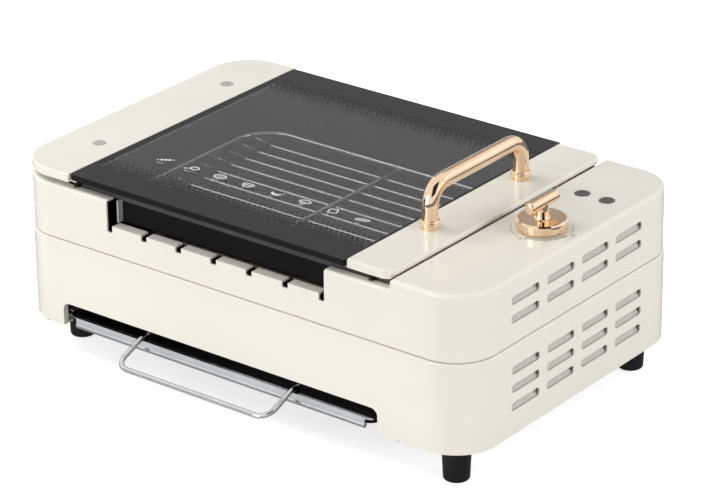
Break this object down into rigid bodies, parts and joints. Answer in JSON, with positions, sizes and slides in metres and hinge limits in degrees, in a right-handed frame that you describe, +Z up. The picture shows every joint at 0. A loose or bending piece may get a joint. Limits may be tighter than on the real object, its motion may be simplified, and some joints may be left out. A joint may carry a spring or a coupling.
{
  "type": "electric kebab grill",
  "caption": "Flat electric kebab grill: enamelled sheet body, side-hinged smoked glass lid with a bar handle, notched skewer window, slide-out drip tray and thermostat knob.",
  "frame": {"origin": "on the table, under the middle of the whole object's bounding box", "axes": "+X right towards the control panel, +Y back, +Z up; the skewer window and the tray are on the -Y side"},
  "size_m": [0.42, 0.304, 0.1892],
  "materials": {
    "cream_enamel": "gloss enamel",
    "cream_plastic": "gloss",
    "black_enamel": "satin enamel",
    "grey_enamel": "satin enamel",
    "galvanised_sheet": "matt",
    "zinc_steel": "satin",
    "heater_steel": "heat-tinted",
    "polished_sheet": "polished",
    "chrome_wire": "polished",
    "champagne_metal": "polished",
    "black_rubber": "matt",
    "black_plastic": "matt",
    "white_plastic": "matt",
    "grey_plastic": "satin",
    "smoke_plastic": "gloss",
    "smoked_glass": "gloss"
  },
  "bodies": {
    "body": {"lower_shell": "cream_enamel", "upper_shell": "cream_enamel", "base_plate": "galvanised_sheet", "plate_screws": "zinc_steel", "feet": "black_rubber", "foot_screws": "zinc_steel", "seam_screws": "zinc_steel", "chamber_liner": "black_enamel", "bay_partition": "galvanised_sheet", "wire_rack": "chrome_wire", "heating_element": "heater_steel", "element_supports": "zinc_steel", "tray_runners": "galvanised_sheet", "hinge_leaves": "zinc_steel", "hinge_pins": "zinc_steel", "hinge_screws": "zinc_steel", "thermostat_body": "white_plastic", "lamp_holders": "white_plastic", "indicator_lenses": "smoke_plastic", "terminal_block": "white_plastic", "cord_gland": "black_plastic"},
    "lid": {"lid_hinge_panel": "cream_plastic", "lid_glass": "smoked_glass", "lid_handle_panel": "cream_plastic", "lid_rails": "grey_enamel", "lid_skirt": "black_enamel", "lid_hinge_leaves": "zinc_steel", "lid_screws": "zinc_steel", "screw_caps": "grey_plastic", "lid_bumpers": "black_rubber", "handle_bar": "champagne_metal", "handle_ferrules": "champagne_metal", "handle_screws": "zinc_steel"},
    "tray": {"drip_tray": "polished_sheet", "tray_handle": "chrome_wire"},
    "knob": {"knob_disc": "champagne_metal", "knob_bar": "champagne_metal", "thermostat_shaft": "zinc_steel"}
  },
  "joints": [
    {"name": "lid_hinge", "type": "hinge", "parent": "body", "child": "lid", "pos_m": [-0.2075, 0.014, 0.1425], "axis": [0, -1, 0], "range_deg": [0, 100]},
    {"name": "tray_slide", "type": "slide", "parent": "body", "child": "tray", "axis": [0, -1, 0], "range_m": [0, 0.2]},
    {"name": "knob_turn", "type": "hinge", "parent": "body", "child": "knob", "pos_m": [0.177, 0.0145, 0.148], "axis": [0, 0, -1], "range_deg": [0, 270]}
  ]
}
